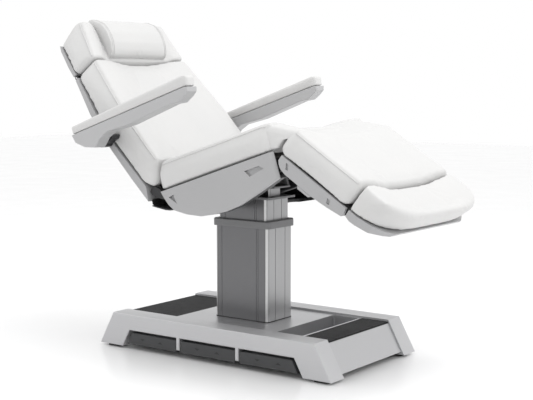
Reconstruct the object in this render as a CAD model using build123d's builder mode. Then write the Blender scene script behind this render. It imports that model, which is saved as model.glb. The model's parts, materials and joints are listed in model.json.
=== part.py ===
from build123d import *
import os
from math import cos, radians, sin

# Facial treatment bed. +X points to the foot end, +Y to the bed's left side, +Z up.
# The origin is on the floor, under the middle of the base.

# ---- driving dimensions (mm) ------------------------------------------------
base_half_width = 294.0
rail_width = 84.5
rail_top_half = 469.0
rail_foot_half = 539.0
rail_top_z = 137.0
floor_gap = 10.0
bay_top_z = 76.0
bay_top_half = 385.0
bay_foot_half = 422.0
bay_posts_x = (-142.0, 135.0)
bay_post_width = 15.0
bay_post_foot_z = 30.0

deck_z = 129.5
deck_wall = 5.0
mat_thickness = 6.0
mat_head_x = -239.0
mat_foot_x = 355.0
tray_x = (233.0, 347.0)
tray_floor_z = 68.0

column_x = -6.0
outer_size = (250.0, 162.0)
outer_top_z = 491.0
collar_size = (266.0, 178.0)
collar_top_z = 511.0
mid_size = (226.0, 150.0)
mid_span_z = (215.0, 592.0)
cap_size = (272.0, 174.0)
cap_top_z = 600.0
inner_size = (204.0, 76.0)
inner_span_z = (300.0, 632.0)

seat_tilt = 18.3
back_angle = 133.5
leg_angle = -32.6
body_half = 332.0
seat_corner = (-188.0, 628.5)
back_hinge = (-228.4, 626.1)
leg_hinge = (327.5, 795.8)
tilt_pin = (90.0, 675.5)
arm_pivot = (-435.0, 799.5)
head_hinge_local = (596.0, -24.0)

arm_inner_y = 377.0
arm_outer_y = 433.0
running_gap = 0.05
lug_half = 6.0


def section(origin, angle, facing=-1):
    """Vertical section plane: local x runs along the angle, local y is its normal."""
    return Plane(
        origin=(origin[0], 0, origin[1]),
        x_dir=(cos(radians(angle)), 0, sin(radians(angle))),
        z_dir=(0, facing, 0),
    )


def at_y(plane, y):
    """The same section plane moved sideways to y."""
    origin = Vector(plane.origin.X, y, plane.origin.Z)
    return Plane(origin=origin, x_dir=plane.x_dir, z_dir=plane.z_dir)


def above(origin, angle, height, facing=1):
    """Plane lying in a cushion: local x along the section, raised by height."""
    along = Vector(cos(radians(angle)), 0, sin(radians(angle)))
    normal = Vector(-sin(radians(angle)), 0, cos(radians(angle))) * facing
    point = Vector(origin[0], 0, origin[1]) + normal * height
    return Plane(origin=point, x_dir=along, z_dir=normal)


def save(builder, label):
    builder.part.label = label
    export_step(builder.part, "parts/" + label + ".step")


world = section((0, 0), 0)
seat = section(seat_corner, seat_tilt)
back = section(back_hinge, back_angle, facing=1)
leg = section(leg_hinge, leg_angle)
os.makedirs("parts", exist_ok=True)

# ---- base -------------------------------------------------------------------
rail_outline = [
    (-rail_top_half, rail_top_z),
    (rail_top_half, rail_top_z),
    (rail_foot_half, floor_gap),
    (bay_foot_half, floor_gap),
    (bay_top_half, bay_top_z),
    (-bay_top_half, bay_top_z),
    (-bay_foot_half, floor_gap),
    (-rail_foot_half, floor_gap),
]
rail_y = base_half_width - rail_width / 2
rail_inner_y = base_half_width - rail_width
post_height = bay_top_z + 2 - bay_post_foot_z


def rail_solid(y):
    """One side rail with its pedal bays."""
    with BuildPart() as rail:
        with BuildSketch(at_y(world, y)):
            Polygon(*rail_outline, align=None)
        extrude(amount=rail_width / 2, both=True)
        with BuildSketch(at_y(world, y)):
            for post_x in bay_posts_x:
                with Locations((post_x, bay_post_foot_z + post_height / 2)):
                    Rectangle(bay_post_width, post_height)
        extrude(amount=rail_width / 2, both=True)
        outer_face = rail.faces().sort_by(Axis.Y)[0 if y < 0 else -1]
        chamfer(outer_face.edges(), 2.5)
    return rail


rail_near = rail_solid(-rail_y)
save(rail_near, "rail_near")
rail_far = rail_solid(rail_y)
save(rail_far, "rail_far")

deck_outline = [
    (-470, deck_z - mat_thickness),
    (mat_head_x, deck_z - mat_thickness),
    (mat_head_x, deck_z),
    (mat_foot_x, deck_z),
    (mat_foot_x, deck_z - mat_thickness),
    (470, deck_z - mat_thickness),
    (526, 22),
    (-526, 22),
]
deck_hollow = [
    (-466, deck_z - mat_thickness - deck_wall),
    (466, deck_z - mat_thickness - deck_wall),
    (520, 20),
    (-520, 20),
]
tray_mid = (tray_x[0] + tray_x[1]) / 2
tray_length = tray_x[1] - tray_x[0]
tray_half_y = 196.0
with BuildPart() as deck:
    with BuildSketch(world):
        Polygon(*deck_outline, align=None)
    extrude(amount=rail_inner_y - 0.3, both=True)
    with BuildSketch(world):
        Polygon(*deck_hollow, align=None)
    extrude(amount=rail_inner_y - 0.3 - deck_wall, both=True, mode=Mode.SUBTRACT)
    with BuildSketch(Plane.XY.offset(tray_floor_z - deck_wall)):
        with Locations((tray_mid, 0)):
            Rectangle(tray_length + 2 * deck_wall, 2 * (tray_half_y + deck_wall))
    extrude(amount=deck_z - 3 - tray_floor_z + deck_wall)
    with BuildSketch(Plane.XY.offset(tray_floor_z)):
        with Locations((tray_mid, 0)):
            RectangleRounded(tray_length, 2 * tray_half_y, 8)
    extrude(amount=deck_z, mode=Mode.SUBTRACT)
save(deck, "deck")

with BuildPart() as mat_head:
    with BuildSketch(Plane.XY.offset(deck_z - mat_thickness)):
        with Locations(((mat_head_x - 468) / 2, 0)):
            Rectangle(mat_head_x + 468 - 1, 2 * rail_inner_y - 2)
    extrude(amount=mat_thickness)
save(mat_head, "mat_head")

with BuildPart() as mat_foot:
    with BuildSketch(Plane.XY.offset(deck_z - mat_thickness)):
        with Locations(((mat_foot_x + 468) / 2, 0)):
            Rectangle(468 - mat_foot_x - 1, 2 * rail_inner_y - 2)
    extrude(amount=mat_thickness)
save(mat_foot, "mat_foot")

with BuildPart() as rubber_feet:
    with BuildSketch(Plane.XY):
        with Locations((-485, -rail_y), (485, -rail_y), (-485, rail_y), (485, rail_y)):
            RectangleRounded(62, 52, 12)
    extrude(amount=floor_gap)
save(rubber_feet, "rubber_feet")

with BuildPart() as control_box:
    with BuildSketch(Plane.XY.offset(28)):
        Rectangle(260, 180)
    extrude(amount=88)
    fillet(control_box.edges().filter_by(Axis.Z), 8)
save(control_box, "control_box")

with BuildPart() as cord_gland:
    with BuildSketch(Plane.YZ.offset(-152)):
        with Locations((50, 60)):
            Circle(11)
    extrude(amount=22)
    with BuildSketch(Plane.YZ.offset(-158)):
        with Locations((50, 60)):
            RegularPolygon(14, 6)
    extrude(amount=8)
save(cord_gland, "cord_gland")

# ---- foot pedals ------------------------------------------------------------
pedal_pivot_z = 50.0
pedal_top_z = 66.0
pedal_foot_z = 22.0
pedal_depth = 38.0
pedal_face_y = base_half_width - 3.0
pedal_y = pedal_face_y - pedal_depth / 2
pedal_pin_r = 4.0
pedal_bays = {
    "head": [(-398, pedal_foot_z), (-376, pedal_top_z), (-152, pedal_top_z), (-152, pedal_foot_z)],
    "mid": [(-132, pedal_foot_z), (-132, pedal_top_z), (125, pedal_top_z), (125, pedal_foot_z)],
    "foot": [(145, pedal_foot_z), (145, pedal_top_z), (376, pedal_top_z), (398, pedal_foot_z)],
}
pedal_pivots = {"head": -270.0, "mid": -3.5, "foot": 266.0}


def pedal_solid(bay, side):
    """One rocker pedal of the named bay."""
    with BuildPart() as pedal:
        with BuildSketch(at_y(world, side * pedal_y)):
            Polygon(*pedal_bays[bay], align=None)
        extrude(amount=pedal_depth / 2, both=True)
        face = pedal.faces().sort_by(Axis.Y)[0 if side < 0 else -1]
        chamfer(face.edges(), 2)
        with BuildSketch(at_y(world, side * pedal_y)):
            with Locations((pedal_pivots[bay], pedal_pivot_z)):
                Circle(pedal_pin_r + running_gap)
        extrude(amount=pedal_depth / 2 - 6, both=True, mode=Mode.SUBTRACT)
        with BuildSketch(at_y(world, side * (pedal_y - pedal_depth / 4))):
            with Locations((pedal_pivots[bay], pedal_pivot_z)):
                Circle(pedal_pin_r + running_gap)
        extrude(amount=pedal_depth / 2, both=True, mode=Mode.SUBTRACT)
    return pedal


pedal_near_head = pedal_solid("head", -1)
save(pedal_near_head, "pedal_near_head")
pedal_near_mid = pedal_solid("mid", -1)
save(pedal_near_mid, "pedal_near_mid")
pedal_near_foot = pedal_solid("foot", -1)
save(pedal_near_foot, "pedal_near_foot")
pedal_far_head = pedal_solid("head", 1)
save(pedal_far_head, "pedal_far_head")
pedal_far_mid = pedal_solid("mid", 1)
save(pedal_far_mid, "pedal_far_mid")
pedal_far_foot = pedal_solid("foot", 1)
save(pedal_far_foot, "pedal_far_foot")

carrier_y = pedal_face_y - pedal_depth - 6.0
carrier_thickness = 8.0
carrier_height = bay_top_z - 30.0
carrier_length = 190.0
with BuildPart() as pedal_carriers:
    for side in (-1, 1):
        with BuildSketch(at_y(world, side * carrier_y)):
            for pivot_x in pedal_pivots.values():
                with Locations((pivot_x, bay_top_z - carrier_height / 2)):
                    Rectangle(carrier_length, carrier_height)
        extrude(amount=carrier_thickness / 2, both=True)
        with BuildSketch(at_y(world, side * (carrier_y + 14))):
            for pivot_x in pedal_pivots.values():
                with Locations((pivot_x, pedal_pivot_z)):
                    Circle(pedal_pin_r)
        extrude(amount=14, both=True)
save(pedal_carriers, "pedal_carriers")

# ---- lifting column ---------------------------------------------------------
groove_depth = 1.5


def grooves(size, z_span):
    """Shallow vertical grooves in the long and the short faces of a profile."""
    length = z_span[1] - z_span[0]
    mid_z = (z_span[0] + z_span[1]) / 2
    half_x = size[0] / 2
    half_y = size[1] / 2
    for side in (-1, 1):
        for x in (-half_x + 34, half_x - 52, half_x - 44):
            with Locations((column_x + x, side * half_y, mid_z)):
                Box(2.2, 2 * groove_depth, length, mode=Mode.SUBTRACT)
        for y in (-half_y + 50, half_y - 50):
            with Locations((column_x + side * half_x, y, mid_z)):
                Box(2 * groove_depth, 2.2, length, mode=Mode.SUBTRACT)


gasket_top_z = deck_z + 2.5
with BuildPart() as column_gasket:
    with BuildSketch(Plane.XY.offset(deck_z)):
        with Locations((column_x, 0)):
            RectangleRounded(outer_size[0] + 3, outer_size[1] + 3, 17)
            RectangleRounded(outer_size[0] - 9, outer_size[1] - 9, 11, mode=Mode.SUBTRACT)
    extrude(amount=gasket_top_z - deck_z)
save(column_gasket, "column_gasket")

with BuildPart() as column_outer:
    with BuildSketch(Plane.XY.offset(gasket_top_z)):
        with Locations((column_x, 0)):
            RectangleRounded(outer_size[0], outer_size[1], 16)
            RectangleRounded(outer_size[0] - 9, outer_size[1] - 9, 11, mode=Mode.SUBTRACT)
    extrude(amount=outer_top_z - gasket_top_z)
    grooves(outer_size, (gasket_top_z, outer_top_z))
save(column_outer, "column_outer")

with BuildPart() as column_collar:
    with BuildSketch(Plane.XY.offset(outer_top_z - 8)):
        with Locations((column_x, 0)):
            RectangleRounded(collar_size[0], collar_size[1], 20)
            RectangleRounded(outer_size[0] + 0.4, outer_size[1] + 0.4, 16, mode=Mode.SUBTRACT)
    extrude(amount=8)
    with BuildSketch(Plane.XY.offset(outer_top_z)):
        with Locations((column_x, 0)):
            RectangleRounded(collar_size[0], collar_size[1], 20)
            RectangleRounded(mid_size[0] + 4, mid_size[1] + 4, 15, mode=Mode.SUBTRACT)
    extrude(amount=collar_top_z - outer_top_z)
    chamfer(column_collar.faces().sort_by(Axis.Z)[-1].outer_wire().edges(), 3)
save(column_collar, "column_collar")

with BuildPart() as lift_spindle:
    with BuildSketch(Plane.XY.offset(deck_z)):
        with Locations((column_x, 0)):
            Circle(30)
    extrude(amount=40)
    with BuildSketch(Plane.XY.offset(deck_z + 40)):
        with Locations((column_x, 0)):
            Circle(12)
    extrude(amount=370)
save(lift_spindle, "lift_spindle")

with BuildPart() as column_mid:
    with BuildSketch(Plane.XY.offset(mid_span_z[0])):
        with Locations((column_x, 0)):
            RectangleRounded(mid_size[0], mid_size[1], 14)
            RectangleRounded(mid_size[0] - 9, mid_size[1] - 9, 9, mode=Mode.SUBTRACT)
    extrude(amount=mid_span_z[1] - mid_span_z[0])
    grooves(mid_size, mid_span_z)
save(column_mid, "column_mid")

with BuildPart() as mid_cap:
    with BuildSketch(Plane.XY.offset(mid_span_z[1])):
        with Locations((column_x, 0)):
            RectangleRounded(cap_size[0], cap_size[1], 8)
            RectangleRounded(inner_size[0] + 4, inner_size[1] + 4, 11, mode=Mode.SUBTRACT)
    extrude(amount=cap_top_z - mid_span_z[1])
save(mid_cap, "mid_cap")

with BuildPart() as column_inner:
    with BuildSketch(Plane.XY.offset(inner_span_z[0])):
        with Locations((column_x, 0)):
            RectangleRounded(inner_size[0], inner_size[1], 10)
            RectangleRounded(inner_size[0] - 10, inner_size[1] - 10, 5, mode=Mode.SUBTRACT)
    extrude(amount=inner_span_z[1] - inner_span_z[0])
save(column_inner, "column_inner")

tilt_pin_r = 10.0
tilt_plate_size = (190.0, 104.0)
tilt_plate_x = 33.0
with BuildPart() as tilt_head:
    with BuildSketch(Plane.XY.offset(inner_span_z[1])):
        with Locations((tilt_plate_x, 0)):
            Rectangle(*tilt_plate_size)
    extrude(amount=6)
    for side in (-1, 1):
        with BuildSketch(at_y(world, side * (tilt_plate_size[1] / 2 - lug_half))):
            Polygon((54, 637), (126, 637), (106, 691.5), (74, 691.5), align=None)
            with Locations(tilt_pin):
                Circle(tilt_pin_r + running_gap, mode=Mode.SUBTRACT)
        extrude(amount=lug_half, both=True)
save(tilt_head, "tilt_head")

# ---- seat -------------------------------------------------------------------
seat_cushion_outline = [
    (2, 1),
    (-4, 74),
    (14, 105),
    (508, 101),
    (546, 66),
    (546, 34),
    (524, 1),
]
with BuildPart() as seat_cushion:
    with BuildSketch(seat):
        Polygon(*seat_cushion_outline, align=None)
    extrude(amount=body_half, both=True)
    with BuildSketch(above(seat_corner, seat_tilt, -20)):
        with Locations((240, 0)):
            RectangleRounded(620, 2 * body_half, 55)
    extrude(amount=140, mode=Mode.INTERSECT)
save(seat_cushion, "seat_cushion")

with BuildPart() as seat_board:
    with BuildSketch(seat):
        Polygon((40, -17), (40, -0.5), (500, -0.5), (500, -17), align=None)
    extrude(amount=body_half - 20, both=True)
    with BuildSketch(seat):
        Polygon((30, -25), (30, 5), (92, 5), (92, -25), align=None)
    extrude(amount=100, both=True, mode=Mode.SUBTRACT)
save(seat_board, "seat_board")

tub_outline = [
    (2, -4),
    (10, -29),
    (24, -60),
    (43, -85),
    (98, -115),
    (160, -138),
    (215, -146),
    (273, -150),
    (340, -146),
    (430, -126),
    (534, -99),
    (534, -4),
]
tub_hollow = [
    (-60, 20),
    (-60, -42),
    (24, -42),
    (52, -76),
    (103, -103),
    (163, -126),
    (273, -138),
    (338, -134),
    (428, -114),
    (570, -80),
    (570, 20),
]
tub_wall = 13.0
pocket_front = [(397, -36), (463, -36), (480, -50), (414, -61)]
pocket_rear = [(34, -34), (58, -30), (64, -66)]
with BuildPart() as seat_tub:
    with BuildSketch(seat):
        Polygon(*tub_outline, align=None)
    extrude(amount=body_half, both=True)
    with BuildSketch(above(seat_corner, seat_tilt, -200)):
        with Locations((234, 0)):
            RectangleRounded(600, 2 * body_half, 24)
    extrude(amount=240, mode=Mode.INTERSECT)
    with BuildSketch(seat):
        Polygon(*tub_hollow, align=None)
    extrude(amount=body_half - tub_wall, both=True, mode=Mode.SUBTRACT)
    with BuildSketch(Plane.XY.offset(500)):
        with Locations((35, 0)):
            RectangleRounded(420, 300, 30)
        with Locations((210, 0)):
            RectangleRounded(440, 2 * (body_half - 38), 40)
    extrude(amount=220, mode=Mode.SUBTRACT)
    for side in (-1, 1):
        with BuildSketch(at_y(seat, side * body_half)):
            Polygon(*pocket_front, align=None)
            Polygon(*pocket_rear, align=None)
        extrude(amount=9, both=True, mode=Mode.SUBTRACT)
save(seat_tub, "seat_tub")

frame_rail_y = 110.0
frame_rail_half = 15.0
cross_tube = 30.0
rear_tube_y = (94.0, 308.0)
lug_r = 15.0
back_pin_r = 8.0
leg_pin_r = 6.0
back_lug_y = 192.0
leg_lug_y = 92.0
leg_lug_r = 10.0
with BuildPart() as seat_frame:
    for side in (-1, 1):
        with BuildSketch(at_y(seat, side * frame_rail_y)):
            Polygon((30, -48), (30, -18), (515, -18), (515, -48), align=None)
        extrude(amount=frame_rail_half, both=True)
        with BuildSketch(at_y(seat, side * frame_rail_y)):
            Polygon((238, -46), (320, -46), (296, -60), (262, -60), align=None)
        extrude(amount=frame_rail_half, both=True)
        with BuildSketch(at_y(seat, side * back_lug_y)):
            Polygon((-52, 4), (34, -42), (40, -20), (10, -13), (-30, 19), align=None)
        extrude(amount=lug_half, both=True)
        with BuildSketch(at_y(world, side * back_lug_y)):
            with Locations(back_hinge):
                Circle(lug_r)
        extrude(amount=lug_half, both=True)
        with BuildSketch(at_y(seat, side * leg_lug_y)):
            Polygon((500, -40), (500, -20), (536, 5), (549, -10), align=None)
        extrude(amount=lug_half, both=True)
        with BuildSketch(at_y(world, side * leg_lug_y)):
            with Locations(leg_hinge):
                Circle(leg_lug_r)
        extrude(amount=lug_half, both=True)
        with BuildSketch(at_y(seat, side * (rear_tube_y[0] + rear_tube_y[1]) / 2)):
            with Locations((45, -33)):
                Rectangle(cross_tube, cross_tube)
        extrude(amount=(rear_tube_y[1] - rear_tube_y[0]) / 2, both=True)
    with BuildSketch(seat):
        with Locations((470, -33)):
            Rectangle(cross_tube, cross_tube)
    extrude(amount=rear_tube_y[1], both=True)
    with BuildSketch(world):
        with Locations(tilt_pin):
            Circle(tilt_pin_r)
    extrude(amount=130, both=True, mode=Mode.SUBTRACT)
    with BuildSketch(world):
        with Locations(back_hinge):
            Circle(back_pin_r)
        with Locations(leg_hinge):
            Circle(leg_pin_r)
    extrude(amount=250, both=True, mode=Mode.SUBTRACT)
save(seat_frame, "seat_frame")

with BuildPart() as tilt_pins:
    with BuildSketch(world):
        with Locations(tilt_pin):
            Circle(tilt_pin_r)
    extrude(amount=124, both=True)
save(tilt_pins, "tilt_pin")

with BuildPart() as back_pins:
    for side in (-1, 1):
        with BuildSketch(at_y(world, side * 200)):
            with Locations(back_hinge):
                Circle(back_pin_r)
        extrude(amount=15, both=True)
save(back_pins, "back_hinge_pins")

with BuildPart() as leg_pins:
    for side in (-1, 1):
        with BuildSketch(at_y(world, side * 99)):
            with Locations(leg_hinge):
                Circle(leg_pin_r)
        extrude(amount=14, both=True)
save(leg_pins, "leg_hinge_pins")

cheek_outline = [
    (-246, 622.5),
    (-240, 609.5),
    (-216, 601.5),
    (-192, 597.5),
    (-170, 595.5),
    (-158, 609.5),
    (-186, 622.5),
    (-208, 634.5),
    (-223, 640.5),
    (-238, 637.5),
]
with BuildPart() as hinge_cheeks:
    for side in (-1, 1):
        with BuildSketch(at_y(world, side * (body_half - 21))):
            Polygon(*cheek_outline, align=None)
        extrude(amount=7, both=True)
save(hinge_cheeks, "hinge_cheeks")

fairing_outline = [
    (-242, 566.5),
    (-218, 562.5),
    (-176, 556.5),
    (-152, 556.5),
    (-146, 562),
    (-152, 561.5),
    (-176, 561.5),
    (-217, 566.5),
    (-241, 570.5),
]
with BuildPart() as rear_fairing:
    with BuildSketch(world):
        Polygon(*fairing_outline, align=None)
    extrude(amount=body_half - 18, both=True)
save(rear_fairing, "rear_fairing")

with BuildPart() as back_actuator:
    with BuildSketch(above(seat_corner, seat_tilt, -70)):
        with Locations((225, 185)):
            Rectangle(210, 44)
    extrude(amount=22, both=True)
    fillet(back_actuator.edges().filter_by(lambda e: e.length > 150), 8)
    with BuildSketch(at_y(seat, 185)):
        Polygon((92, -76), (92, -64), (122, -64), (122, -76), align=None)
    extrude(amount=6, both=True)
save(back_actuator, "back_actuator")

with BuildPart() as leg_actuator:
    with BuildSketch(above(seat_corner, seat_tilt, -71)):
        with Locations((330, -185)):
            Rectangle(190, 44)
    extrude(amount=22, both=True)
    fillet(leg_actuator.edges().filter_by(lambda e: e.length > 150), 8)
    with BuildSketch(at_y(seat, -185)):
        Polygon((423, -76), (423, -64), (500, -64), (500, -76), align=None)
    extrude(amount=6, both=True)
save(leg_actuator, "leg_actuator")

# ---- back and head ----------------------------------------------------------
# Half widths along the back: (distance from the hinge, half width).
back_plan = [(-60, body_half), (290, body_half), (400, 320), (590, 294), (800, 260)]


def plan_outline(inset):
    """Closed plan outline of the back, inset from its sides."""
    right = [(x, inset - half) for x, half in back_plan]
    left = [(x, half - inset) for x, half in reversed(back_plan)]
    return right + left


back_cushion_outline = [
    (51, -10),
    (0, 27.5),
    (24, 41),
    (50, 56),
    (68, 82),
    (76, 88),
    (560, 92),
    (592, 84),
    (592, -10),
    (400, -19),
    (264, -19.5),
]
with BuildPart() as back_cushion:
    with BuildSketch(back):
        Polygon(*back_cushion_outline, align=None)
    extrude(amount=body_half, both=True)
    with BuildSketch(above(back_hinge, back_angle, -40, facing=-1)):
        Polygon(*plan_outline(0), align=None)
    extrude(amount=160, mode=Mode.INTERSECT)
save(back_cushion, "back_cushion")

back_shell_outline = [
    (28, -13),
    (46, -13),
    (264, -24),
    (400, -23),
    (586, -13),
    (586, -29),
    (427, -47),
    (248, -48),
    (100, -46),
    (-17, -41),
]
back_shell_hollow = [
    (-30, -33),
    (-30, 20),
    (576, 20),
    (576, -25),
    (427, -37),
    (248, -38),
    (100, -36),
]
with BuildPart() as back_shell:
    with BuildSketch(back):
        Polygon(*back_shell_outline, align=None)
    extrude(amount=body_half, both=True)
    with BuildSketch(back):
        Polygon(*back_shell_hollow, align=None)
    extrude(amount=254, both=True, mode=Mode.SUBTRACT)
    with BuildSketch(above(back_hinge, back_angle, -60, facing=-1)):
        Polygon(*plan_outline(1.5), align=None)
    extrude(amount=80, mode=Mode.INTERSECT)
save(back_shell, "back_shell")

with BuildPart() as back_frame:
    for side in (-1, 1):
        with BuildSketch(at_y(back, side * 205)):
            Polygon((62, -31), (250, -36), (575, -23), (575, -15), (250, -26), (62, -22), align=None)
        extrude(amount=13, both=True)
        with BuildSketch(at_y(back, side * (back_lug_y + 14))):
            Polygon((-12, -9), (62, -31), (80, -31), (80, -22), (42, -13), (10, 11), align=None)
            with Locations((0, 0)):
                Circle(lug_r)
                Circle(back_pin_r + running_gap, mode=Mode.SUBTRACT)
        extrude(amount=lug_half, both=True)
    with BuildSketch(back):
        Polygon((90, -33), (90, -24), (120, -25), (120, -34), align=None)
        Polygon((520, -25), (520, -19), (550, -18), (550, -24), align=None)
    extrude(amount=205, both=True)
save(back_frame, "back_frame")

head_pin_r = 4.0
head_pin_half = 286.0
knuckle_r = 8.0
knuckle_length = 46.0
with BuildPart() as back_knuckles:
    for y in (-262, 0, 262):
        with BuildSketch(at_y(back, y)):
            with Locations(head_hinge_local):
                Circle(knuckle_r)
                Circle(head_pin_r, mode=Mode.SUBTRACT)
        extrude(amount=knuckle_length / 2, both=True)
        with BuildSketch(at_y(back, y)):
            Polygon((586.3, -29), (586.3, -15), (589.5, -17), (589.5, -31), align=None)
        extrude(amount=knuckle_length / 2, both=True)
save(back_knuckles, "back_knuckles")

with BuildPart() as head_pin:
    with BuildSketch(back):
        with Locations(head_hinge_local):
            Circle(head_pin_r)
    extrude(amount=head_pin_half, both=True)
save(head_pin, "head_hinge_pin")

with BuildPart() as head_knuckles:
    for y in (-200, 200):
        with BuildSketch(at_y(back, y)):
            with Locations(head_hinge_local):
                Circle(knuckle_r)
                Circle(head_pin_r + running_gap, mode=Mode.SUBTRACT)
        extrude(amount=knuckle_length / 2, both=True)
        with BuildSketch(at_y(back, y)):
            Polygon((602.5, -31), (602.5, -17), (605.8, -17), (605.8, -29), align=None)
        extrude(amount=knuckle_length / 2, both=True)
save(head_knuckles, "head_knuckles")

head_shell_outline = [(606, -14), (757, -13), (763, -18), (740, -26), (660, -31), (606, -30)]
with BuildPart() as head_shell:
    with BuildSketch(back):
        Polygon(*head_shell_outline, align=None)
    extrude(amount=body_half, both=True)
    with BuildSketch(above(back_hinge, back_angle, -60, facing=-1)):
        Polygon(*plan_outline(2), align=None)
    extrude(amount=80, mode=Mode.INTERSECT)
save(head_shell, "head_shell")

head_cushion_outline = [(600, -11), (600, 84), (614, 93), (764, 112), (786, 92), (764, -11)]
with BuildPart() as head_cushion:
    with BuildSketch(back):
        Polygon(*head_cushion_outline, align=None)
    extrude(amount=body_half, both=True)
    with BuildSketch(above(back_hinge, back_angle, -40, facing=-1)):
        Polygon(*plan_outline(0), align=None)
    extrude(amount=170, mode=Mode.INTERSECT)
save(head_cushion, "head_cushion")

pillow_outline = [
    (612, 93.5),
    (608, 116),
    (628, 145),
    (668, 164),
    (712, 168),
    (756, 157),
    (784, 138),
    (792, 120),
    (766, 113),
]
pillow_half = 172.0
with BuildPart() as pillow:
    with BuildSketch(back):
        Polygon(*pillow_outline, align=None)
    extrude(amount=pillow_half, both=True)
save(pillow, "pillow")

# ---- armrests ---------------------------------------------------------------
arm_shaft_r = 10.0
arm_body_outline = [
    (-539, 826.5),
    (12, 1009.5),
    (28, 1011.5),
    (29, 994.5),
    (15, 978.5),
    (-13, 955.5),
    (-47, 949.5),
    (-250, 872.5),
    (-353, 846.5),
    (-390, 821.5),
    (-410, 793.5),
    (-418, 784.5),
    (-472, 784.5),
    (-520, 799.5),
]
arm_pad_outline = [
    (-539.3, 828.5),
    (-549, 856.5),
    (6, 1050.5),
    (20, 1048.5),
    (28, 1035.5),
    (28.5, 1013.5),
    (12, 1011.5),
]
bracket_outline = [(-454, 788.5), (-442, 781.5), (-388, 815.5), (-382, 829.5), (-392, 833.5), (-446, 811.5)]
arm_mid_y = (arm_inner_y + arm_outer_y) / 2
arm_half = (arm_outer_y - arm_inner_y) / 2
bracket_mid_y = (body_half + arm_inner_y) / 2
bracket_half = 20.5
shaft_mid_y = 364.0
shaft_half = 33.3


def arm_body_solid(side):
    """Moulded armrest body with the blind bore for its pivot shaft."""
    with BuildPart() as body:
        with BuildSketch(at_y(world, side * arm_mid_y)):
            Polygon(*arm_body_outline, align=None)
        extrude(amount=arm_half, both=True)
        chamfer(body.faces().sort_by(Axis.Y)[-1].edges(), 2.5)
        chamfer(body.faces().sort_by(Axis.Y)[0].edges(), 2.5)
        with BuildSketch(at_y(world, side * (arm_inner_y + 11))):
            with Locations(arm_pivot):
                Circle(arm_shaft_r + running_gap)
        extrude(amount=12, both=True, mode=Mode.SUBTRACT)
    return body


def arm_pad_solid(side):
    """Soft pad on top of an armrest body."""
    with BuildPart() as pad:
        with BuildSketch(at_y(world, side * arm_mid_y)):
            Polygon(*arm_pad_outline, align=None)
        extrude(amount=arm_half, both=True)
    return pad


def bracket_solid(side):
    """Bracket that keeps an armrest level while the back reclines."""
    with BuildPart() as bracket:
        with BuildSketch(at_y(world, side * bracket_mid_y)):
            Polygon(*bracket_outline, align=None)
            with Locations(arm_pivot):
                Circle(16)
                Circle(arm_shaft_r + running_gap, mode=Mode.SUBTRACT)
        extrude(amount=bracket_half, both=True)
    return bracket


arm_body_near = arm_body_solid(-1)
save(arm_body_near, "arm_body_near")
arm_body_far = arm_body_solid(1)
save(arm_body_far, "arm_body_far")
arm_pad_near = arm_pad_solid(-1)
save(arm_pad_near, "arm_pad_near")
arm_pad_far = arm_pad_solid(1)
save(arm_pad_far, "arm_pad_far")
arm_bracket_near = bracket_solid(-1)
save(arm_bracket_near, "arm_bracket_near")
arm_bracket_far = bracket_solid(1)
save(arm_bracket_far, "arm_bracket_far")

with BuildPart() as arm_shafts:
    for side in (-1, 1):
        with BuildSketch(at_y(world, side * shaft_mid_y)):
            with Locations(arm_pivot):
                Circle(arm_shaft_r)
        extrude(amount=shaft_half, both=True)
save(arm_shafts, "arm_shafts")

# ---- leg and foot sections --------------------------------------------------
leg_half = 329.0
leg_cushion_outline = [
    (31, 5.4),
    (16, 8),
    (9, 30),
    (9, 70),
    (26, 101),
    (318, 103),
    (342, 84),
    (342, 20),
    (333, 6),
]
with BuildPart() as leg_cushion:
    with BuildSketch(leg):
        Polygon(*leg_cushion_outline, align=None)
    extrude(amount=leg_half, both=True)
save(leg_cushion, "leg_cushion")

leg_shell_outline = [
    (33, 2),
    (31, -20),
    (40, -31),
    (54, -41),
    (78, -46),
    (205, -46),
    (277, -40),
    (338, -31),
    (342, -24),
    (338, 2.5),
]
leg_shell_hollow = [(60, -38), (60, 20), (360, 20), (360, -26), (277, -36), (205, -42), (78, -42)]
with BuildPart() as leg_shell:
    with BuildSketch(leg):
        Polygon(*leg_shell_outline, align=None)
    extrude(amount=leg_half - 2, both=True)
    with BuildSketch(leg):
        Polygon(*leg_shell_hollow, align=None)
    extrude(amount=leg_half - 14, both=True, mode=Mode.SUBTRACT)
    with BuildSketch(leg):
        Polygon((25, -60), (25, 10), (62, 10), (62, -60), align=None)
    extrude(amount=150, both=True, mode=Mode.SUBTRACT)
    for side in (-1, 1):
        with BuildSketch(at_y(leg, side * leg_half)):
            Polygon((62, -8), (76, -10), (82, -28), (72, -30), align=None)
            Polygon((262, -12), (276, -13), (280, -28), (268, -29), align=None)
        extrude(amount=8, both=True, mode=Mode.SUBTRACT)
save(leg_shell, "leg_shell")

slide_y = 190.0
with BuildPart() as leg_frame:
    for side in (-1, 1):
        with BuildSketch(at_y(leg, side * slide_y)):
            Polygon((66, -25), (66, 1), (325, 1), (325, -25), align=None)
        extrude(amount=13, both=True)
        with BuildSketch(at_y(leg, side * slide_y)):
            Polygon((64, -22), (64, -2), (327, -2), (327, -22), align=None)
        extrude(amount=10, both=True, mode=Mode.SUBTRACT)
        with BuildSketch(at_y(leg, side * (leg_lug_y + 14))):
            Polygon((-7, -7), (60, -25), (100, -25), (100, 1), (60, 1), (30, -8), (7, 7), align=None)
            with Locations((0, 0)):
                Circle(leg_lug_r)
                Circle(leg_pin_r + running_gap, mode=Mode.SUBTRACT)
        extrude(amount=lug_half, both=True)
    with BuildSketch(leg):
        Polygon((70, -25), (70, 1), (100, 1), (100, -25), align=None)
    extrude(amount=slide_y - 11, both=True)
save(leg_frame, "leg_frame")

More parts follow.
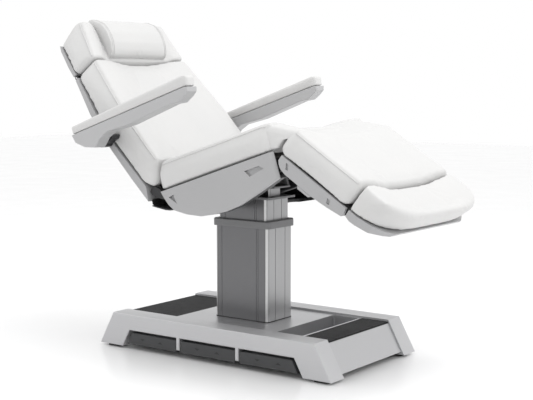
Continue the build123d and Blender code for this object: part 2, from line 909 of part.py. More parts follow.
with BuildPart() as foot_lock:
    for side in (-1, 1):
        with BuildSketch(at_y(leg, side * (leg_half - 16))):
            Polygon((138, -46.2), (146, -58), (196, -57), (208, -46.2), align=None)
        extrude(amount=13, both=True)
        chamfer(foot_lock.faces().sort_by(Axis.Y)[0 if side < 0 else -1].edges(), 2)
save(foot_lock, "foot_lock_housings")

foot_plan = [
    (350, -leg_half),
    (400, -327),
    (450, -308),
    (485, -275),
    (508, -230),
    (522, -160),
    (529, 0),
    (522, 160),
    (508, 230),
    (485, 275),
    (450, 308),
    (400, 327),
    (350, leg_half),
]
foot_cushion_outline = [
    (356, 7),
    (350, 20),
    (350, 84),
    (366, 103),
    (498, 98),
    (526, 76),
    (528, 30),
    (504, 8),
]
with BuildPart() as foot_cushion:
    with BuildSketch(leg):
        Polygon(*foot_cushion_outline, align=None)
    extrude(amount=leg_half, both=True)
    with BuildSketch(above(leg_hinge, leg_angle, -10)):
        Polygon(*foot_plan, align=None)
    extrude(amount=140, mode=Mode.INTERSECT)
save(foot_cushion, "foot_cushion")

foot_shell_outline = [(352, 4), (352, -20), (372, -26), (440, -24), (492, -10), (500, 4)]
with BuildPart() as foot_shell:
    with BuildSketch(leg):
        Polygon(*foot_shell_outline, align=None)
    extrude(amount=leg_half, both=True)
    with BuildSketch(above(leg_hinge, leg_angle, -60)):
        with Locations((-6, 0)):
            Polygon(*foot_plan, align=None)
    extrude(amount=80, mode=Mode.INTERSECT)
    for side in (-1, 1):
        with BuildSketch(at_y(leg, side * slide_y)):
            Polygon((340, -22), (340, -2), (366, -2), (366, -22), align=None)
        extrude(amount=10, both=True, mode=Mode.SUBTRACT)
save(foot_shell, "foot_shell")

with BuildPart() as foot_slides:
    for side in (-1, 1):
        with BuildSketch(at_y(leg, side * slide_y)):
            Polygon((190, -21.5), (190, -2.5), (366, -2.5), (366, -21.5), align=None)
        extrude(amount=9.5, both=True)
save(foot_slides, "foot_slides")
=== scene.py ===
import json
import math

import bmesh
import bpy
import numpy as np
from mathutils import Matrix, Vector
from mathutils.bvhtree import BVHTree


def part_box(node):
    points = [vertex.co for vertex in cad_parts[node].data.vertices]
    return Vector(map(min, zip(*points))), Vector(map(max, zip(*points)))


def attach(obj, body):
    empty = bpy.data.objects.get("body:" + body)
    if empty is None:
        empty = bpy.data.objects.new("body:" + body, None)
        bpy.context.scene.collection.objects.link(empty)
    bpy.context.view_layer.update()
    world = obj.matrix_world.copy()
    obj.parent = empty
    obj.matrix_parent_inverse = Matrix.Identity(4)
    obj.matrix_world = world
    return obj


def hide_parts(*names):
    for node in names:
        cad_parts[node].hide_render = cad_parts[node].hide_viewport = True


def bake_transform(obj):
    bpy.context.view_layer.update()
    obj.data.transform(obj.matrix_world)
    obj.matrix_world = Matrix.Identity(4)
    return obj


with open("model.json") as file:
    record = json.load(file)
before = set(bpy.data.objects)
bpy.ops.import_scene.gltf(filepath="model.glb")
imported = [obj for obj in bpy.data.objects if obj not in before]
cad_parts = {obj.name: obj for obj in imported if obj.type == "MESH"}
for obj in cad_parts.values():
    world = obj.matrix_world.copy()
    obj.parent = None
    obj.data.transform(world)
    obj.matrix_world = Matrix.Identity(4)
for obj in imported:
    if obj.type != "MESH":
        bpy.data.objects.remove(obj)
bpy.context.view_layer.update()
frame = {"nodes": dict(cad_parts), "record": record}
nodes = frame["nodes"]

# ---- section frames: x along the section, y across the bed, n out of the surface (m) --------
def hinge(name):
    """Place of a hinge in the X-Z plane."""
    joints = frame["record"]["behaviour"]["joints"]
    x, _, z = next(j["pos_m"] for j in joints if j["name"] == name)
    return x, z


# Each section: origin in the X-Z plane, angle in degrees, side its surface faces.
SEAT_CORNER = (-0.188, 0.6285)
SEAT = (SEAT_CORNER, 18.3, 1)
BACK = (hinge("back_recline"), 133.5, -1)
LEG = (hinge("leg_lift"), -32.6, 1)
BODY_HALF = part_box("seat_cushion")[1][1]
LEG_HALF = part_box("leg_cushion")[1][1]


def place(section, x, y, n):
    """Shared-frame coordinates of points given in a section frame."""
    (ox, oz), angle, facing = section
    c, s = math.cos(math.radians(angle)), math.sin(math.radians(angle))
    x, y, n = np.broadcast_arrays(*(np.asarray(v, float) for v in (x, y, n)))
    return np.stack([ox + x * c - facing * n * s, y, oz + x * s + facing * n * c], -1)


# ---- materials ----------------------------------------------------------------------------
class Shader:
    """A Principled material with short calls for the nodes that feed it."""

    def __init__(self, name, **values):
        self.mat = bpy.data.materials.new(name)
        self.mat.use_nodes = True
        self.tree = self.mat.node_tree
        self.bsdf = self.tree.nodes["Principled BSDF"]
        for key, value in values.items():
            self.bsdf.inputs[key.replace("_", " ")].default_value = value

    def node(self, kind, inputs=None, **settings):
        node = self.tree.nodes.new(kind)
        for key, value in settings.items():
            setattr(node, key, value)
        for key, value in (inputs or {}).items():
            if isinstance(value, bpy.types.NodeSocket):
                self.tree.links.new(value, node.inputs[key])
            else:
                node.inputs[key].default_value = value
        return node

    def coords(self, scale=(1, 1, 1)):
        tex = self.node("ShaderNodeTexCoord")
        mapping = self.node("ShaderNodeMapping", {"Vector": tex.outputs["Object"], "Scale": scale})
        return mapping.outputs["Vector"]

    def noise(self, scale, detail=3.0, roughness=0.55, stretch=(1, 1, 1)):
        return self.node(
            "ShaderNodeTexNoise",
            {"Vector": self.coords(stretch), "Scale": scale, "Detail": detail, "Roughness": roughness},
        ).outputs["Fac"]

    def ramp(self, fac, low, high, low_at=0.0, high_at=1.0):
        node = self.node("ShaderNodeValToRGB", {"Fac": fac})
        node.color_ramp.elements[0].position = low_at
        node.color_ramp.elements[1].position = high_at
        node.color_ramp.elements[0].color = (*low, 1)
        node.color_ramp.elements[1].color = (*high, 1)
        return node.outputs["Color"]

    def span(self, fac, low, high):
        return self.node(
            "ShaderNodeMapRange", {"Value": fac, "To Min": low, "To Max": high}
        ).outputs["Result"]

    def color(self, socket):
        self.tree.links.new(socket, self.bsdf.inputs["Base Color"])

    def rough(self, socket):
        self.tree.links.new(socket, self.bsdf.inputs["Roughness"])

    def bump(self, *layers):
        """Stacks (height, strength, distance) layers and feeds the normal."""
        last = None
        for height, strength, distance in layers:
            inputs = {"Height": height, "Strength": strength, "Distance": distance}
            if last is not None:
                inputs["Normal"] = last
            last = self.node("ShaderNodeBump", inputs).outputs["Normal"]
        self.tree.links.new(last, self.bsdf.inputs["Normal"])


def leather(name, tone, roughness):
    """Upholstery leather: fine pebbled cells over soft, slight tone changes."""
    sh = Shader(name, Specular_IOR_Level=0.45, Sheen_Weight=0.08, Sheen_Roughness=0.5)
    warm = tuple(t * f for t, f in zip((tone,) * 3, (1.0, 0.995, 0.985)))
    cool = tuple(t * 0.975 * f for t, f in zip((tone,) * 3, (1.0, 0.998, 0.992)))
    sh.color(sh.ramp(sh.noise(5.0, 3.0), cool, warm, 0.3, 0.7))
    sh.rough(sh.span(sh.noise(60.0, 4.0), roughness - 0.05, roughness + 0.06))
    cells = sh.node(
        "ShaderNodeTexVoronoi",
        {"Vector": sh.coords(), "Scale": 620.0, "Randomness": 1.0},
        feature="DISTANCE_TO_EDGE",
    ).outputs["Distance"]
    sh.bump(
        (sh.noise(9.0, 2.0), 0.10, 0.004),
        (cells, 0.16, 0.0006),
        (sh.noise(1400.0, 2.0), 0.08, 0.0003),
    )
    return sh.mat


def plastic(name, rgb, roughness, spread=0.03, grain=900.0, grain_strength=0.10):
    """Moulded plastic or rubber with a fine surface grain."""
    sh = Shader(name, Specular_IOR_Level=0.5)
    low = tuple(c * (1 - spread) for c in rgb)
    sh.color(sh.ramp(sh.noise(4.0, 3.0), low, rgb, 0.3, 0.7))
    sh.rough(sh.span(sh.noise(35.0, 4.0), roughness - 0.04, roughness + 0.06))
    sh.bump((sh.noise(grain, 2.0), grain_strength, 0.0004))
    return sh.mat


def brushed(name, rgb, roughness, stretch, metallic=1.0, contrast=0.14):
    """Metal with fine lines along one direction."""
    sh = Shader(name, Metallic=metallic, Anisotropic=0.35)
    lines = sh.noise(1.0, 6.0, 0.7, stretch)
    low = tuple(c * (1 - contrast) for c in rgb)
    sh.color(sh.ramp(lines, low, rgb, 0.3, 0.75))
    sh.rough(sh.span(lines, roughness - 0.06, roughness + 0.1))
    sh.bump((lines, 0.10, 0.0004), (sh.noise(6.0, 2.0), 0.03, 0.002))
    return sh.mat


white = leather("white_leather", 0.61, 0.42)
shell_mat = plastic("shell_grey", (0.40, 0.40, 0.405), 0.36)
arm_mat = plastic("arm_grey", (0.45, 0.45, 0.455), 0.36)
rail_mat = brushed("silver_rail", (0.54, 0.54, 0.55), 0.40, (6, 60, 420), metallic=0.45, contrast=0.05)
deck_mat = brushed("silver_deck", (0.52, 0.52, 0.53), 0.32, (6, 420, 60), metallic=0.8, contrast=0.06)
collar_mat = plastic("collar_grey", (0.22, 0.22, 0.225), 0.38)
steel_mat = brushed("bright_steel", (0.72, 0.72, 0.73), 0.22, (300, 8, 300))
frame_mat = plastic("frame_black", (0.025, 0.025, 0.027), 0.45)
black_mat = plastic("black_plastic", (0.018, 0.018, 0.02), 0.42)
rubber_mat = plastic("black_rubber", (0.02, 0.02, 0.02), 0.7, grain=500.0, grain_strength=0.3)
pedal_mat = plastic("pedal_grey", (0.045, 0.046, 0.048), 0.55, grain=700.0, grain_strength=0.2)
icon_mat = plastic("pedal_mark", (0.012, 0.012, 0.013), 0.5)
board_mat = plastic("board", (0.03, 0.027, 0.024), 0.6, spread=0.2, grain=120.0)


def column_painted_light_finish():
    """Anodised column with painted light: dark side panels painted as shade, paler end panels painted as
    lit faces, bright corner strips painted as highlights.
    """
    sh = Shader("column_aluminium", Metallic=0.75, Anisotropic=0.3)
    lines = sh.noise(1.0, 6.0, 0.7, (420, 420, 3))
    normal = sh.node("ShaderNodeTexCoord").outputs["Normal"]
    facing = sh.node("ShaderNodeSeparateXYZ", {"Vector": normal}).outputs["X"]
    facing = sh.node("ShaderNodeMath", {0: facing}, operation="ABSOLUTE").outputs["Value"]
    grain = sh.span(lines, -0.03, 0.03)
    facing = sh.node("ShaderNodeMath", {0: facing, 1: grain}, operation="ADD").outputs["Value"]
    # Painted light: the colour follows which way each face points. ±Y faces are painted dark as shade, ±X
    # faces paler as lit, and the rounded corners carry a bright painted highlight strip with a dark band
    # beside it.
    node = sh.node("ShaderNodeValToRGB", {"Fac": facing})
    stops = node.color_ramp.elements
    stops[0].position, stops[0].color = 0.05, (0.17, 0.17, 0.175, 1)
    stops[1].position, stops[1].color = 0.96, (0.40, 0.40, 0.405, 1)
    for position, tone in ((0.25, 0.13), (0.40, 0.62), (0.78, 0.62), (0.90, 0.25)):
        stops.new(position).color = (tone, tone, tone, 1)
    sh.color(node.outputs["Color"])
    sh.rough(sh.span(lines, 0.26, 0.42))
    sh.bump((lines, 0.10, 0.0004))
    return sh.mat


# Wall depth in from the tub's side; inward of it the tub's colour is painted near-black as shade.
PAINTED_SHADE_DEPTH = 0.0125


def tub_painted_shade_finish():
    """Grey shell with painted shade: the inside of its side walls is painted near-black as shadow."""
    sh = Shader("tub_grey_painted_shade", Specular_IOR_Level=0.5)
    outside = sh.ramp(sh.noise(4.0, 3.0), (0.385, 0.385, 0.39), (0.40, 0.40, 0.405), 0.3, 0.7)
    across = sh.node("ShaderNodeSeparateXYZ", {"Vector": sh.coords()}).outputs["Y"]
    across = sh.node("ShaderNodeMath", {0: across}, operation="ABSOLUTE").outputs["Value"]
    painted_shade_y = BODY_HALF - PAINTED_SHADE_DEPTH
    inside = sh.node("ShaderNodeMath", {0: across, 1: painted_shade_y}, operation="LESS_THAN").outputs["Value"]
    mix = sh.node("ShaderNodeMix", {0: inside}, data_type="RGBA")
    sh.tree.links.new(outside, mix.inputs[6])
    # Painted shade: near-black colour inside the side walls stands in for the shadow there.
    mix.inputs[7].default_value = (0.02, 0.02, 0.021, 1)
    sh.color(mix.outputs[2])
    sh.rough(sh.span(sh.noise(35.0, 4.0), 0.32, 0.42))
    sh.bump((sh.noise(900.0, 2.0), 0.10, 0.0004))
    return sh.mat


def ribbed_mat():
    """Dark floor mat with fine ribs across it."""
    sh = Shader("dark_mat", Specular_IOR_Level=0.15)
    sh.color(sh.ramp(sh.noise(12.0, 3.0), (0.022, 0.022, 0.023), (0.034, 0.034, 0.035), 0.3, 0.7))
    sh.rough(sh.span(sh.noise(50.0, 4.0), 0.62, 0.78))
    ribs = sh.node(
        "ShaderNodeTexWave",
        {"Vector": sh.coords(), "Scale": 55.0},
        wave_type="BANDS",
        bands_direction="Y",
    ).outputs["Fac"]
    sh.bump((ribs, 0.35, 0.0012), (sh.noise(900.0, 2.0), 0.2, 0.0004))
    return sh.mat


column_painted_light_mat = column_painted_light_finish()
tub_painted_shade_mat = tub_painted_shade_finish()
mat_mat = ribbed_mat()

BY_SLOT = {
    "silver_metal": rail_mat,
    "dark_mat": mat_mat,
    "black_rubber": rubber_mat,
    "black_plastic": black_mat,
    "steel": steel_mat,
    "column_aluminium": column_painted_light_mat,
    "collar_grey": collar_mat,
    "white_leather": white,
    "board": board_mat,
    "shell_grey": shell_mat,
    "arm_grey": arm_mat,
    "frame_black": frame_mat,
    "pedal_grey": pedal_mat,
}
for entry in frame["record"]["subparts"]:
    node = nodes[entry["node"]]
    node.data.materials.clear()
    node.data.materials.append(BY_SLOT[entry["material_slot"]])
nodes["deck"].data.materials[0] = deck_mat
nodes["seat_tub"].data.materials[0] = tub_painted_shade_mat
nodes["tilt_head"].data.materials[0] = collar_mat


# ---- mesh helpers -------------------------------------------------------------------------
def add_mesh(name, verts, faces, mat, smooth=True):
    mesh = bpy.data.meshes.new(name)
    mesh.from_pydata([tuple(v) for v in verts], [], faces)
    mesh.validate()
    mesh.update()
    obj = bpy.data.objects.new(name, mesh)
    bpy.context.scene.collection.objects.link(obj)
    mesh.materials.append(mat)
    mesh.polygons.foreach_set("use_smooth", [smooth] * len(mesh.polygons))
    bm = bmesh.new()
    bm.from_mesh(mesh)
    bmesh.ops.recalc_face_normals(bm, faces=bm.faces)
    bm.to_mesh(mesh)
    bm.free()
    return obj


def box_surface(nx, ny, nz):
    """Unit-cube surface grid: points (a, b, c) and quads."""
    index, points, faces = {}, [], []

    def vert(i, j, k):
        if (i, j, k) not in index:
            index[(i, j, k)] = len(points)
            points.append((i / nx, j / ny, k / nz))
        return index[(i, j, k)]

    for i in range(nx):
        for j in range(ny):
            for k in (0, nz):
                faces.append([vert(i, j, k), vert(i + 1, j, k), vert(i + 1, j + 1, k), vert(i, j + 1, k)])
    for i in range(nx):
        for k in range(nz):
            for j in (0, ny):
                faces.append([vert(i, j, k), vert(i + 1, j, k), vert(i + 1, j, k + 1), vert(i, j, k + 1)])
    for j in range(ny):
        for k in range(nz):
            for i in (0, nx):
                faces.append([vert(i, j, k), vert(i, j + 1, k), vert(i, j + 1, k + 1), vert(i, j, k + 1)])
    return np.array(points), faces


def apply_modifiers(obj):
    depsgraph = bpy.context.evaluated_depsgraph_get()
    mesh = bpy.data.meshes.new_from_object(obj.evaluated_get(depsgraph))
    mats = list(obj.data.materials)
    obj.modifiers.clear()
    obj.data = mesh
    mesh.materials.clear()
    for m in mats:
        mesh.materials.append(m)
    mesh.polygons.foreach_set("use_smooth", [True] * len(mesh.polygons))
    return obj


def coords_of(obj):
    co = np.zeros(len(obj.data.vertices) * 3)
    obj.data.vertices.foreach_get("co", co)
    return co.reshape(-1, 3)


def set_coords(obj, co):
    obj.data.vertices.foreach_set("co", co.reshape(-1))
    obj.data.update()


def inflate(obj, voxel=0.006, pressure=4.0, cap=0.008, shrink=0.35, smooth=5):
    """Remeshes a cushion, lets cloth under pressure crown it, and caps how far it moves."""
    remesh = obj.modifiers.new("remesh", "REMESH")
    remesh.mode = "VOXEL"
    remesh.voxel_size = voxel
    soften = obj.modifiers.new("soften", "SMOOTH")
    soften.factor = 0.5
    soften.iterations = smooth
    apply_modifiers(obj)
    start = coords_of(obj)
    cloth = obj.modifiers.new("cloth", "CLOTH")
    cloth.settings.quality = 3
    cloth.settings.mass = 0.4
    cloth.settings.tension_stiffness = 40
    cloth.settings.compression_stiffness = 40
    cloth.settings.bending_stiffness = 2.0
    cloth.settings.use_pressure = True
    cloth.settings.uniform_pressure_force = pressure
    cloth.settings.effector_weights.gravity = 0
    cloth.collision_settings.use_collision = False
    scene = bpy.context.scene
    for f in range(1, 21):
        scene.frame_set(f)
    end = coords_of(bpy.data.objects[obj.name].evaluated_get(bpy.context.evaluated_depsgraph_get()))
    move = (end - start) * shrink
    length = np.linalg.norm(move, axis=1, keepdims=True)
    move *= np.minimum(1, cap / np.maximum(length, 1e-9))
    obj.modifiers.clear()
    set_coords(obj, start + move)
    scene.frame_set(1)
    sub = obj.modifiers.new("sub", "SUBSURF")
    sub.levels = 1
    sub.render_levels = 1
    return apply_modifiers(obj)


def edge_round(distance, radius):
    """Drop of a quarter-round edge at a distance from it."""
    t = np.clip(distance, 0, radius)
    return radius - np.sqrt(np.maximum(radius**2 - (radius - t) ** 2, 0))


def ease(t):
    """Smooth step from 0 to 1."""
    t = np.clip(t, 0, 1)
    return t * t * (3 - 2 * t)


# Where the hollow starts, in from the crest, and how wide its slope is.
WIDE_HOLLOW = (0.040, 0.200)
HEAD_HOLLOW = (0.045, 0.055)
HOLLOW_DEPTH = 0.028


def dish(y, half, depth, start=WIDE_HOLLOW[0], width=WIDE_HOLLOW[1]):
    """Drop of the hollow between the raised side bolsters."""
    return depth * ease((half - np.abs(y) - start) / width)


def spaced(values, power=0.75):
    """Moves grid lines towards both ends."""
    t = 2 * values - 1
    return 0.5 + 0.5 * np.sign(t) * np.abs(t) ** power


def surface_of(obj):
    bm = bmesh.new()
    bm.from_mesh(obj.data)
    tree = BVHTree.FromBMesh(bm)
    bm.free()
    return tree


def onto(tree, points, lift=0.0):
    """Nearest points on a surface, lifted along its normal."""
    out = []
    for p in points:
        co, normal, _, _ = tree.find_nearest(Vector(p))
        out.append(np.array(co) + np.array(normal) * lift)
    return np.array(out)


def tube(name, lines, radius, mat, sides=8):
    """Round welts along polylines, joined in one mesh."""
    verts, faces = [], []
    for line in lines:
        line = np.asarray(line, float)
        tangents = np.gradient(line, axis=0)
        tangents /= np.maximum(np.linalg.norm(tangents, axis=1, keepdims=True), 1e-9)
        up = np.array([0.0, 1.0, 0.0])
        if abs(tangents[0] @ up) > 0.9:
            up = np.array([0.0, 0.0, 1.0])
        first = len(verts)
        side = np.cross(tangents[0], up)
        for p, t in zip(line, tangents):
            side = side - (side @ t) * t
            side /= max(np.linalg.norm(side), 1e-9)
            other = np.cross(t, side)
            for k in range(sides):
                a = 2 * math.pi * k / sides
                verts.append(p + radius * (math.cos(a) * side + math.sin(a) * other))
        rings = len(line)
        for r in range(rings - 1):
            for k in range(sides):
                a = first + r * sides + k
                b = first + r * sides + (k + 1) % sides
                faces.append([a, b, b + sides, a + sides])
        faces.append([first + k for k in reversed(range(sides))])
        faces.append([first + (rings - 1) * sides + k for k in range(sides)])
    return add_mesh(name, verts, faces, mat)


def finish_piece(obj, body, replaces=()):
    """Puts a piece on its body and hides the CAD nodes it stands for."""
    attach(obj, body)
    if replaces:
        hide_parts(*replaces)
    return obj


# ---- cushions -----------------------------------------------------------------------------
def profile(table):
    """Piecewise-linear function of its first column."""
    xs, ys = zip(*table)
    return lambda v: np.interp(v, xs, ys)


def constant(value):
    """Function that gives one value everywhere."""
    return lambda v: np.full_like(np.asarray(v, float), value)


def cushion(name, section, start, end, half, bottom, top, lean, depth, node, body, hollow=WIDE_HOLLOW):
    """A crowned cushion between two end profiles, hollowed between its bolsters.

    start and end give x by height share, half the half width by x, bottom and top n by x,
    lean how far the sides lean in at the top.
    """
    grid, faces = box_surface(56, 56, 12)
    a, b, c = spaced(grid[:, 0]), spaced(grid[:, 1]), grid[:, 2]
    wide = half(start(c) * (1 - a) + end(c) * a)
    y = (2 * b - 1) * (wide - lean * c**1.6)
    tuck = edge_round(wide - lean * c**1.6 - np.abs(y), 0.02)
    x = (start(c) + tuck) * (1 - a) + (end(c) - tuck) * a
    crest = wide - lean
    low, high = bottom(x), top(x)
    drop = dish(y, crest, depth, *hollow) + edge_round(crest - np.abs(y), 0.022)
    n = np.where(c > 0, low + (high - low - drop) * c, low)
    obj = add_mesh(name, place(section, x, y, n), faces, white)
    inflate(obj)
    finish_piece(obj, body, (node,))
    return obj


back_half = profile([(-0.06, 0.332), (0.29, 0.332), (0.40, 0.320), (0.59, 0.294), (0.80, 0.260)])


def seat_half(x):
    """Half width of the seat cushion, rounded in plan at the knee."""
    return BODY_HALF - edge_round(0.548 - x, 0.03)


seat_cushion = cushion(
    "seat_pad",
    SEAT,
    profile([(0, 0.003), (0.7, -0.003), (1, 0.016)]),
    profile([(0, 0.528), (0.3, 0.545), (0.7, 0.545), (1, 0.534)]),
    seat_half,
    constant(0.0015),
    profile([(0, 0.098), (0.02, 0.105), (0.50, 0.101), (0.545, 0.096)]),
    0.018,
    HOLLOW_DEPTH,
    "seat_cushion",
    "seat",
)
back_cushion = cushion(
    "back_pad",
    BACK,
    profile([(0, 0.045), (0.15, 0.012), (0.35, 0.006), (0.5, 0.022), (0.7, 0.052), (1, 0.074)]),
    profile([(0, 0.590), (0.2, 0.593), (0.9, 0.593), (1, 0.590)]),
    back_half,
    profile([(0, -0.002), (0.05, -0.010), (0.264, -0.0195), (0.40, -0.019), (0.59, -0.010)]),
    profile([(0, 0.086), (0.07, 0.088), (0.56, 0.092), (0.59, 0.090)]),
    0.018,
    HOLLOW_DEPTH,
    "back_cushion",
    "back",
)
head_cushion = cushion(
    "head_pad",
    BACK,
    constant(0.599),
    profile([(0, 0.764), (0.8, 0.784), (1, 0.766)]),
    back_half,
    constant(-0.011),
    profile([(0.6, 0.092), (0.62, 0.095), (0.764, 0.119), (0.786, 0.120)]),
    0.018,
    0.022,
    "head_cushion",
    "head",
    hollow=HEAD_HOLLOW,
)
leg_cushion = cushion(
    "leg_pad",
    LEG,
    profile([(0, 0.028), (0.12, 0.014), (0.3, 0.010), (0.7, 0.011), (1, 0.026)]),
    profile([(0, 0.326), (0.15, 0.340), (0.8, 0.342), (1, 0.328)]),
    constant(LEG_HALF),
    constant(0.0055),
    profile([(0, 0.101), (0.3, 0.103), (0.34, 0.102)]),
    0.016,
    HOLLOW_DEPTH,
    "leg_cushion",
    "leg",
)


def foot_pad():
    """The foot cushion, rounded in plan at its outer end."""
    grid, faces = box_surface(40, 56, 12)
    a, b, c = spaced(grid[:, 0]), spaced(grid[:, 1]), grid[:, 2]
    y = (2 * b - 1) * (LEG_HALF - 0.001 - 0.012 * c**1.6)
    share = np.clip(np.abs(y) / (LEG_HALF + 0.002), 0, 1)
    low_tip = 0.360 + 0.137 * np.sqrt(1 - share**4)
    crest_share = np.clip(np.abs(y) / (LEG_HALF - 0.009), 0, 1)
    high_tip = 0.385 + 0.140 * (1 - crest_share**5) ** 0.45
    tip = low_tip * (1 - c**0.8) + high_tip * c**0.8
    x = 0.352 * (1 - a) + tip * a
    edge_gap = np.minimum(LEG_HALF - 0.013 - np.abs(y), (tip - x) * 0.9)
    rise = ease((tip - x) / 0.05)
    drop = edge_round(edge_gap, 0.024) + dish(y, LEG_HALF - 0.013, HOLLOW_DEPTH) * rise
    high = profile([(0.35, 0.101), (0.50, 0.098), (0.53, 0.096)])(x)
    n = np.where(c > 0, 0.0075 + (high - 0.0075 - drop) * c, 0.0075)
    obj = add_mesh("foot_pad", place(LEG, x, y, n), faces, white)
    inflate(obj)
    finish_piece(obj, "foot", ("foot_cushion",))


foot_pad()


def knee_bridge():
    """The soft gusset that carries the upholstery over the knee, above an open slot."""
    grid, faces = box_surface(16, 64, 14)
    a, b, c = grid[:, 0], spaced(grid[:, 1]), grid[:, 2]
    seat_low, seat_high = place(SEAT, [0.522, 0.512], 0, [0.006, 0.0985])
    leg_side = np.vstack(
        [place(SEAT, [0.549, 0.588], 0, [0.000, 0.034]), place(LEG, [0.016, 0.036], 0, [0.062, 0.1015])]
    )
    steps = [0, 0.40, 0.55, 1]
    front = np.stack([np.interp(c, steps, leg_side[:, k]) for k in range(3)], -1)
    rear = seat_low * (1 - c)[:, None] + seat_high * c[:, None]
    point = rear * (1 - a)[:, None] + front * a[:, None]
    crest = BODY_HALF - 0.022
    y = (2 * b - 1) * (crest + 0.012 * (1 - c))
    drop = dish(y, crest, HOLLOW_DEPTH) + edge_round(crest - np.abs(y), 0.020)
    outward = np.array([0.186, 0, 0.982])
    point = point - outward * (drop * c)[:, None]
    point[:, 1] = y
    obj = add_mesh("knee_gusset", point, faces, white)
    inflate(obj, voxel=0.005, cap=0.003, smooth=3)
    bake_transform(obj)


knee_bridge()


def hinge_gaiter():
    """Black rubber gaiter between the seat's rear fairing and the back shell."""
    grid, faces = box_surface(18, 24, 1)
    a, b, c = grid.T
    low = np.array([-0.236, 0.0, 0.5665])
    high = np.array([-0.2440, 0.0, 0.5930])
    line = low * (1 - a)[:, None] + high * a[:, None]
    bulge = -0.007 * np.sin(math.pi * a) - 0.0012 * np.cos(6 * math.pi * a)
    line[:, 0] += bulge + 0.004 * c
    line[:, 1] = (2 * b - 1) * (BODY_HALF - 0.020)
    obj = add_mesh("hinge_gaiter", line, faces, rubber_mat)
    sub = obj.modifiers.new("sub", "SUBSURF")
    sub.levels = sub.render_levels = 1
    apply_modifiers(obj)
    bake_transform(obj)


hinge_gaiter()


PILLOW_HALF = 0.166


def pillow_pad():
    """Half-round head pillow."""
    grid, faces = box_surface(24, 48, 12)
    a, b, c = spaced(grid[:, 0]), spaced(grid[:, 1]), grid[:, 2]
    y = (2 * b - 1) * PILLOW_HALF
    x0, x1 = 0.610, 0.796
    x = x0 + (x1 - x0) * a
    arch = profile(
        [(0, 0.024), (0.06, 0.038), (0.2, 0.054), (0.45, 0.065), (0.7, 0.058), (0.9, 0.034), (1, 0.012)]
    )(a)
    base = 0.0680 + (x - x0) * 0.095
    n = base + c * arch
    obj = add_mesh("head_pillow", place(BACK, x, y, n), faces, white)
    inflate(obj, voxel=0.005, smooth=6)
    finish_piece(obj, "head", ("pillow",))
    return obj


pillow = pillow_pad()


def arm_pad(name, side, node, body):
    """Soft pad along the top of an armrest."""
    grid, faces = box_surface(60, 14, 6)
    a, b, c = spaced(grid[:, 0], 0.85), spaced(grid[:, 1]), grid[:, 2]
    base = profile([(-0.5393, 0.829), (0.012, 1.0120), (0.0285, 1.0140)])
    crown = profile([(-0.549, 0.8565), (0.0, 1.0498), (0.016, 1.0500), (0.0285, 1.0400)])
    across = 2 * b - 1
    tuck = edge_round((1 - np.abs(across)) * 0.028, 0.02)
    x = (-0.5385 - 0.0085 * c + tuck * 0.5) * (1 - a) + (0.0285 - tuck - 0.006 * c) * a
    low, high = base(x), crown(x)
    y_in, y_out = 0.3775, 0.4325
    y = side * (0.5 * (y_in + y_out) + 0.5 * (y_out - y_in) * across)
    drop = edge_round((1 - np.abs(across)) * 0.028, 0.008)
    z = np.where(c > 0, low + np.maximum(high - low - drop, 0.001) * c, low)
    obj = add_mesh(name, np.stack([x, y, z], -1), faces, white)
    inflate(obj, voxel=0.004, cap=0.002, smooth=3)
    finish_piece(obj, body, (node,))


arm_pad("armrest_pad_near", -1, "arm_pad_near", "arm_near")
arm_pad("armrest_pad_far", 1, "arm_pad_far", "arm_far")

# ---- piping and pedal marks ---------------------------------------------------------------
def piping(name, cushion_piece, body, lines, radius=0.0022):
    """Corded welts laid on a cushion's surface."""
    skin = surface_of(cushion_piece)
    return finish_piece(
        tube(name, [onto(skin, line, 0.0004) for line in lines], radius, white), body
    )


def side_lines(section, x0, x1, half, inset, height):
    """A line along each side of a cushion, near the top of its side wall."""
    x = np.linspace(x0, x1, 70)
    return [place(section, x, side * (half(x) - inset), height(x)) for side in (-1, 1)]


piping(
    "seat_piping",
    seat_cushion,
    "seat",
    side_lines(SEAT, 0.022, 0.515, seat_half, 0.022, profile([(0, 0.092), (0.5, 0.091), (0.545, 0.082)])),
)
piping(
    "back_piping",
    back_cushion,
    "back",
    side_lines(BACK, 0.085, 0.578, back_half, 0.022, constant(0.079)),
)
piping(
    "head_piping",
    head_cushion,
    "head",
    side_lines(BACK, 0.612, 0.765, back_half, 0.022, profile([(0.6, 0.083), (0.764, 0.106)])),
)
piping(
    "leg_piping",
    leg_cushion,
    "leg",
    side_lines(LEG, 0.032, 0.325, constant(LEG_HALF), 0.020, constant(0.091)),
)


def pillow_lines():
    """Two cords over each end of the pillow."""
    turn = np.linspace(0.04 * math.pi, 0.97 * math.pi, 80)
    x = 0.703 - 0.112 * np.cos(turn)
    rise = 0.078 + 0.080 * np.sin(turn)
    return [
        place(BACK, x, side * (PILLOW_HALF - inset), rise) for side in (-1, 1) for inset in (0.007, 0.016)
    ]


piping("pillow_piping", pillow, "head", pillow_lines(), 0.0018)


def pedal_marks(side, bay):
    """Raised up and down arrows on a pedal's face."""
    node = f"pedal_{side}_{bay}"
    low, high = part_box(node)
    face_y = low[1] if side == "near" else high[1]
    out = -1 if side == "near" else 1
    verts, faces = [], []
    wide, tall, mid_z = 0.012, 0.004, 0.045
    for share, way in ((0.32, -1), (0.68, 1)):
        x = low[0] + share * (high[0] - low[0])
        first = len(verts)
        for y in (face_y - 0.001 * out, face_y + 0.0004 * out):
            foot_z, tip_z = mid_z - tall * way, mid_z + tall * way
            verts += [(x - wide, y, foot_z), (x + wide, y, foot_z), (x, y, tip_z)]
        faces += [[first, first + 1, first + 2], [first + 3, first + 4, first + 5]]
        for k in range(3):
            after = (k + 1) % 3
            faces.append([first + k, first + after, first + 3 + after, first + 3 + k])
    mark = add_mesh(f"marks_{side}_{bay}", verts, faces, icon_mat, smooth=False)
    finish_piece(mark, node)


for pedal_side in ("near", "far"):
    for pedal_bay in ("head", "mid", "foot"):
        pedal_marks(pedal_side, pedal_bay)

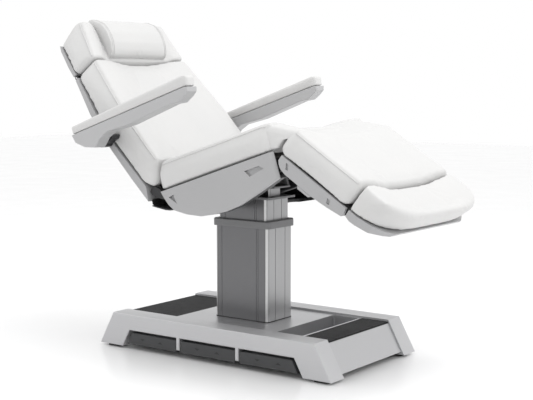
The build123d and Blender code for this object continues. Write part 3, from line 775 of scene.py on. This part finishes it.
# ---- camera and light ---------------------------------------------------------------------
AZIMUTH, ELEVATION, DISTANCE = 36.09, 5.84, 4.43504
az, el = math.radians(AZIMUTH), math.radians(ELEVATION)
back_dir = Vector((math.sin(az) * math.cos(el), -math.cos(az) * math.cos(el), math.sin(el)))
right_dir = Vector((math.cos(az), math.sin(az), 0))
up_dir = back_dir.cross(right_dir)
target = Vector((0, 0, 0.4)) + right_dir * 0.04432 + up_dir * 0.17784
camera_data = bpy.data.cameras.new("camera")
camera_data.lens = 78.2
camera_data.sensor_width = 36
camera = bpy.data.objects.new("camera", camera_data)
bpy.context.scene.collection.objects.link(camera)
rotation = Matrix((right_dir, up_dir, back_dir)).transposed().to_4x4()
camera.matrix_world = Matrix.Translation(target + back_dir * DISTANCE) @ rotation
bpy.context.scene.camera = camera

floor_sh = Shader("studio_floor", Specular_IOR_Level=0.35)
floor_sh.color(floor_sh.ramp(floor_sh.noise(0.6, 2.0), (0.93, 0.93, 0.935), (0.95, 0.95, 0.95), 0.3, 0.7))
floor_sh.rough(floor_sh.span(floor_sh.noise(3.0, 2.0), 0.20, 0.26))
FLOOR_HALF = 14.0
floor_corners = [(x * FLOOR_HALF, y * FLOOR_HALF, 0) for x, y in ((-1, -1), (1, -1), (1, 1), (-1, 1))]
floor = add_mesh(
    "studio_floor",
    floor_corners,
    [[0, 1, 2, 3]],
    floor_sh.mat,
)

world = bpy.data.worlds.new("studio")
bpy.context.scene.world = world
world.use_nodes = True
world.node_tree.nodes["Background"].inputs["Color"].default_value = (1.0, 1.0, 1.0, 1)
world.node_tree.nodes["Background"].inputs["Strength"].default_value = 1.0


def softbox(name, location, aim, size, power):
    """Rectangular area light aimed at a point."""
    light = bpy.data.lights.new(name, "AREA")
    light.shape = "RECTANGLE"
    light.size, light.size_y = size
    light.energy = power
    obj = bpy.data.objects.new(name, light)
    bpy.context.scene.collection.objects.link(obj)
    obj.location = location
    direction = Vector(aim) - Vector(location)
    obj.rotation_euler = direction.to_track_quat("-Z", "Y").to_euler()


softbox("top_light", (1.2, 0.3, 3.6), (0, 0, 0.6), (2.6, 2.6), 52)
softbox("foot_light", (3.6, 0.9, 1.6), (0, 0, 0.5), (1.6, 1.8), 14)
softbox("head_light", (-2.6, -2.2, 2.8), (-0.5, -0.3, 1.1), (1.0, 1.0), 14)
bpy.context.scene.view_settings.view_transform = "Standard"
